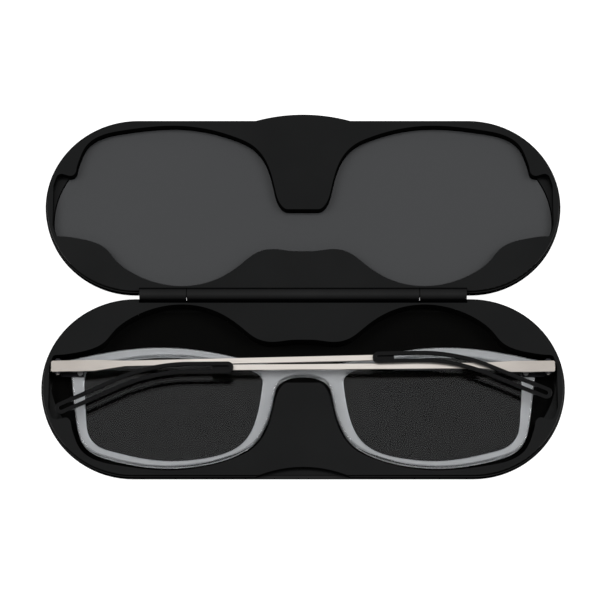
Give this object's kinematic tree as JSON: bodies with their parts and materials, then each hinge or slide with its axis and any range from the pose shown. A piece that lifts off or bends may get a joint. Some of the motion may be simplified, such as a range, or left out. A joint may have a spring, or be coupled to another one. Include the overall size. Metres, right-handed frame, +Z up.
{
  "type": "clip-on glasses set in a slim case",
  "caption": "Slim hinged case, open flat, that holds folding clear-front glasses in one half and their one-piece smoke-tinted clip-on in the other.",
  "frame": {"origin": "middle of the lower case half's underside, on the surface it stands on", "axes": "+X along the case, +Y from the lower half towards the lid, +Z up"},
  "size_m": [0.151, 0.111, 0.01],
  "materials": {
    "shell_black": "soft-touch black moulded shell with a fine matte grain",
    "insert_black": "soft-touch black moulded insert, satin rim and darker pocket",
    "pin_steel": "drawn steel",
    "magnet_nickel": "nickel plating",
    "smoke_sheet": "smoke-tinted clear plastic, polished",
    "clear_acetate": "clear crystal plastic, polished",
    "lens_clear": "clear lens with a hard coat",
    "champagne_metal": "champagne-silver spring steel, fine long brushing",
    "black_rubber": "glossy black moulded tip"
  },
  "bodies": {
    "case_base": {"base_shell": "shell_black", "base_tray": "insert_black", "hinge_pin": "pin_steel", "base_magnet_left": "magnet_nickel", "base_magnet_right": "magnet_nickel"},
    "case_lid": {"lid_shell": "shell_black", "lid_tray": "insert_black", "lid_magnet_left": "magnet_nickel", "lid_magnet_right": "magnet_nickel"},
    "clip_on": {"clip_on_lens": "smoke_sheet", "clip_on_magnet_left": "magnet_nickel", "clip_on_magnet_right": "magnet_nickel"},
    "glasses_front": {"front_frame": "clear_acetate", "lens_left": "lens_clear", "lens_right": "lens_clear", "front_magnet_left": "magnet_nickel", "front_magnet_right": "magnet_nickel", "front_hinge_left": "champagne_metal", "front_hinge_right": "champagne_metal", "front_hinge_rivets_left": "pin_steel", "front_hinge_rivets_right": "pin_steel", "temple_pin_left": "champagne_metal", "temple_pin_right": "champagne_metal"},
    "temple_left": {"temple_arm_left": "champagne_metal", "temple_tip_left": "black_rubber"},
    "temple_right": {"temple_arm_right": "champagne_metal", "temple_tip_right": "black_rubber"}
  },
  "joints": [
    {"name": "lid_hinge", "type": "hinge", "parent": "case_base", "child": "case_lid", "pos_m": [0, 0.02772, 0.0077], "axis": [-1, 0, 0], "range_deg": [-180, 0]},
    {"name": "glasses_lift", "type": "slide", "parent": "case_base", "child": "glasses_front", "axis": [0, 0, 1], "range_m": [0, 0.06]},
    {"name": "clip_on_lift", "type": "slide", "parent": "case_lid", "child": "clip_on", "axis": [0, 0, 1], "range_m": [0, 0.04]},
    {"name": "temple_left_fold", "type": "hinge", "parent": "glasses_front", "child": "temple_left", "pos_m": [-0.0707, 0.00575, 0.00815], "axis": [0, -1, 0], "range_deg": [0, 92]},
    {"name": "temple_right_fold", "type": "hinge", "parent": "glasses_front", "child": "temple_right", "pos_m": [0.0707, 0.00575, 0.00815], "axis": [0, 1, 0], "range_deg": [0, 92]}
  ]
}
